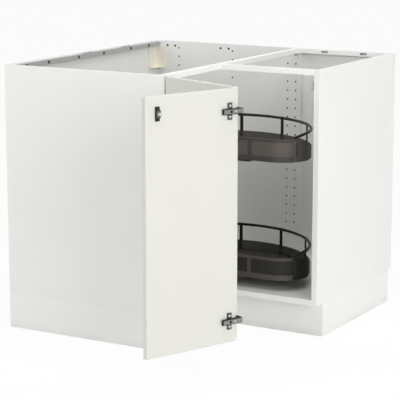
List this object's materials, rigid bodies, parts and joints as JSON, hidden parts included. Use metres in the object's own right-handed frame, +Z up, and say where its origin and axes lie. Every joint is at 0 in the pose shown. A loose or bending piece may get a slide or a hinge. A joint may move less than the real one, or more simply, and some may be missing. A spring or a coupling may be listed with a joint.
{
  "type": "corner base cabinet",
  "caption": "Corner base cabinet with an open top, folding doors and dark pie-cut carousel trays that turn on a post, on legs behind a plinth.",
  "frame": {"origin": "on the floor, at the middle of the box round the part with its doors open", "axes": "+X to the right along the left panel, +Y to the back, +Z up"},
  "size_m": [0.9556, 1.3878, 0.8763],
  "materials": {
    "white_board": "white melamine foil",
    "white_back": "white foil on thin fibreboard",
    "white_steel": "white powder coat",
    "galvanised_steel": "galvanised",
    "ivory_plastic": "moulded, matt",
    "white_plinth": "white foil",
    "grey_plastic": "moulded, matt",
    "door_foil": "off-white foil, satin",
    "nickel_steel": "nickel plate",
    "pin_steel": "bright steel",
    "screw_steel": "zinc plate",
    "dark_steel": "dark grey powder coat",
    "dark_plastic": "moulded, matt",
    "grey_steel": "grey powder coat",
    "pale_plastic": "moulded, matt"
  },
  "bodies": {
    "cabinet": {"left_side_panel": "white_board", "far_side_panel": "white_board", "right_side_panel": "white_board", "main_bottom_panel": "white_board", "annex_bottom_panel": "white_board", "main_back_panel": "white_back", "annex_back_panel": "white_back", "long_front_rail": "white_steel", "annex_front_rail": "white_steel", "rear_rail": "galvanised_steel", "annex_rear_rail": "white_steel", "corner_bracket": "ivory_plastic", "plinth_left": "white_plinth", "plinth_main_front": "white_plinth", "plinth_annex_front": "white_plinth", "plinth_right": "white_plinth", "leg_sockets": "grey_plastic", "leg_feet": "grey_plastic", "plinth_clips": "grey_plastic", "carousel_base": "grey_steel", "carousel_post": "grey_steel", "base_screws": "screw_steel", "post_cap": "dark_plastic", "tray_collars": "dark_plastic", "main_hinge_plates": "nickel_steel", "main_hinge_arms": "nickel_steel", "main_hinge_screws": "screw_steel", "catch_strike": "pale_plastic"},
    "hinged_door": {"hinged_door": "door_foil", "main_hinge_cups": "nickel_steel", "main_hinge_pins": "pin_steel", "fold_hinge_cups": "nickel_steel", "fold_hinge_tongues": "nickel_steel"},
    "free_door": {"free_door": "door_foil", "fold_hinge_plates": "nickel_steel", "fold_hinge_arms": "nickel_steel", "fold_hinge_pins": "pin_steel", "fold_hinge_screws": "screw_steel", "catch_body": "dark_plastic"},
    "catch": {"catch_plunger": "pale_plastic"},
    "upper_tray": {"upper_tray": "dark_steel", "upper_tray_trim": "dark_plastic", "upper_tray_hub": "dark_plastic", "upper_tray_guard_rail": "dark_steel", "upper_tray_guard_posts": "dark_plastic"},
    "lower_tray": {"lower_tray": "dark_steel", "lower_tray_trim": "dark_plastic", "lower_tray_hub": "dark_plastic", "lower_tray_guard_rail": "dark_steel", "lower_tray_guard_posts": "dark_plastic"}
  },
  "joints": [
    {"name": "door_swing", "type": "hinge", "parent": "cabinet", "child": "hinged_door", "pos_m": [0.1357, -0.25074, 0.4953], "axis": [0, 0, -1], "range_deg": [-112, 0]},
    {"name": "door_fold", "type": "hinge", "parent": "hinged_door", "child": "free_door", "pos_m": [0.44204, -0.37505, 0.4953], "axis": [0, 0, 1], "range_deg": [0, 60]},
    {"name": "catch_press", "type": "slide", "parent": "free_door", "child": "catch", "axis": [-0.9272, 0.3746, 0], "range_m": [0, 0.004], "stiffness_N_per_m": 400, "springref_m": -0.001},
    {"name": "upper_tray_turn", "type": "hinge", "parent": "cabinet", "child": "upper_tray", "pos_m": [0.0522, 0.16386, 0.563], "axis": [0, 0, 1], "range_deg": [0, 360]},
    {"name": "lower_tray_turn", "type": "hinge", "parent": "cabinet", "child": "lower_tray", "pos_m": [0.0522, 0.16386, 0.1695], "axis": [0, 0, 1], "range_deg": [0, 360]}
  ]
}
